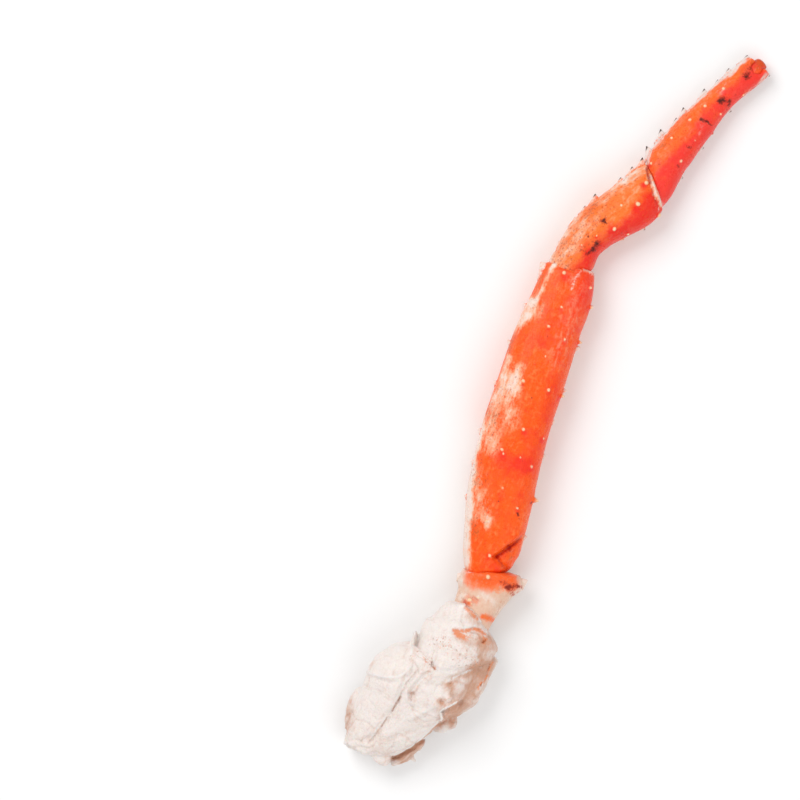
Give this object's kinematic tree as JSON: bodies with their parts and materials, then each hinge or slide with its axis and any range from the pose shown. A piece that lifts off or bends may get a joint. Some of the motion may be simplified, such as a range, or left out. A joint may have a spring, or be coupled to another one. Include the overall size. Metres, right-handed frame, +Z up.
{
  "type": "king crab leg",
  "caption": "Cooked king crab walking leg with its shoulder, lying flat: knobbly segmented shell tapering from a pale rounded base to a trimmed tip.",
  "frame": {"origin": "middle of the footprint at the height it rests on", "axes": "+X along the leg from the shoulder to the tip, +Y towards the outside of its bend, +Z up"},
  "size_m": [0.4648, 0.0756, 0.041],
  "materials": {
    "pale_shell": "damp chalky shell, white with faint pink and brown flecks",
    "mottled_shell": "wet shell, cream with orange and dark red patches",
    "red_shell": "wet red-orange shell with pale knobs and dark-tipped spines"
  },
  "bodies": {
    "root": {"shoulder": "pale_shell", "coxa": "pale_shell", "ischium": "mottled_shell", "merus": "red_shell", "carpus": "red_shell", "propodus": "red_shell", "dactyl_stub": "red_shell"}
  },
  "joints": []
}
